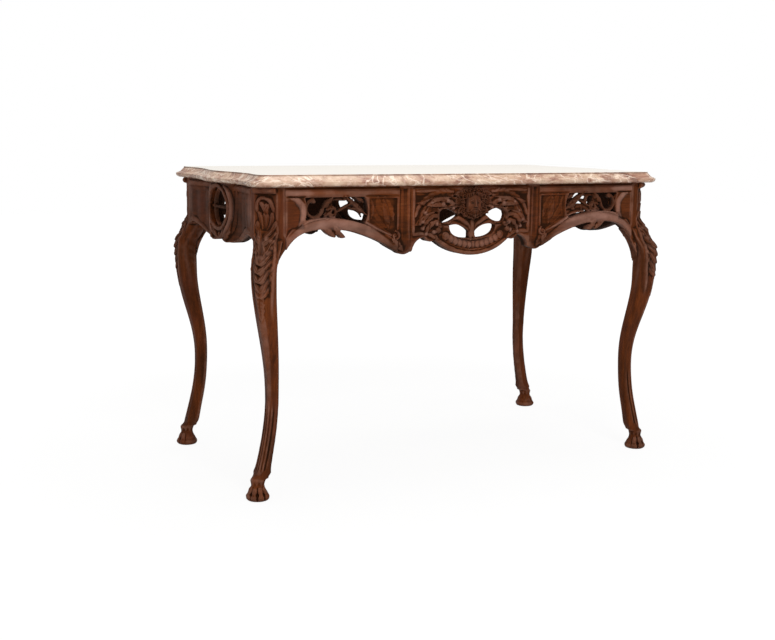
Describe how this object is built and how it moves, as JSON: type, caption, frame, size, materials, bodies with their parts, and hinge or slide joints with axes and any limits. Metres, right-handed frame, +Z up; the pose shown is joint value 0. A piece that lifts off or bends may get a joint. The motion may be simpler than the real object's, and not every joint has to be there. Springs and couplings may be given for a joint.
{
  "type": "pier table",
  "caption": "Pier table on carved cabriole legs with pierced and carved aprons all round and a loose moulded marble slab.",
  "frame": {"origin": "on the floor, below the centre of the table", "axes": "+X along the table's length to the right, -Y out of the front, +Z up"},
  "size_m": [1.2, 0.6642, 0.78],
  "materials": {
    "carved_wood": "waxed walnut",
    "plain_wood": "unfinished secondary wood",
    "marble": "polished",
    "screw_steel": "dull"
  },
  "bodies": {
    "root": {"marble_top": "marble", "front_left_leg": "carved_wood", "front_right_leg": "carved_wood", "back_left_leg": "carved_wood", "back_right_leg": "carved_wood", "front_apron": "carved_wood", "back_apron": "carved_wood", "left_apron": "carved_wood", "right_apron": "carved_wood", "front_mascaron": "carved_wood", "back_mascaron": "carved_wood", "front_left_corner_block": "plain_wood", "front_right_corner_block": "plain_wood", "back_left_corner_block": "plain_wood", "back_right_corner_block": "plain_wood", "left_cross_rail": "plain_wood", "right_cross_rail": "plain_wood", "tenon_pegs": "carved_wood", "corner_block_screws": "screw_steel"}
  },
  "joints": []
}
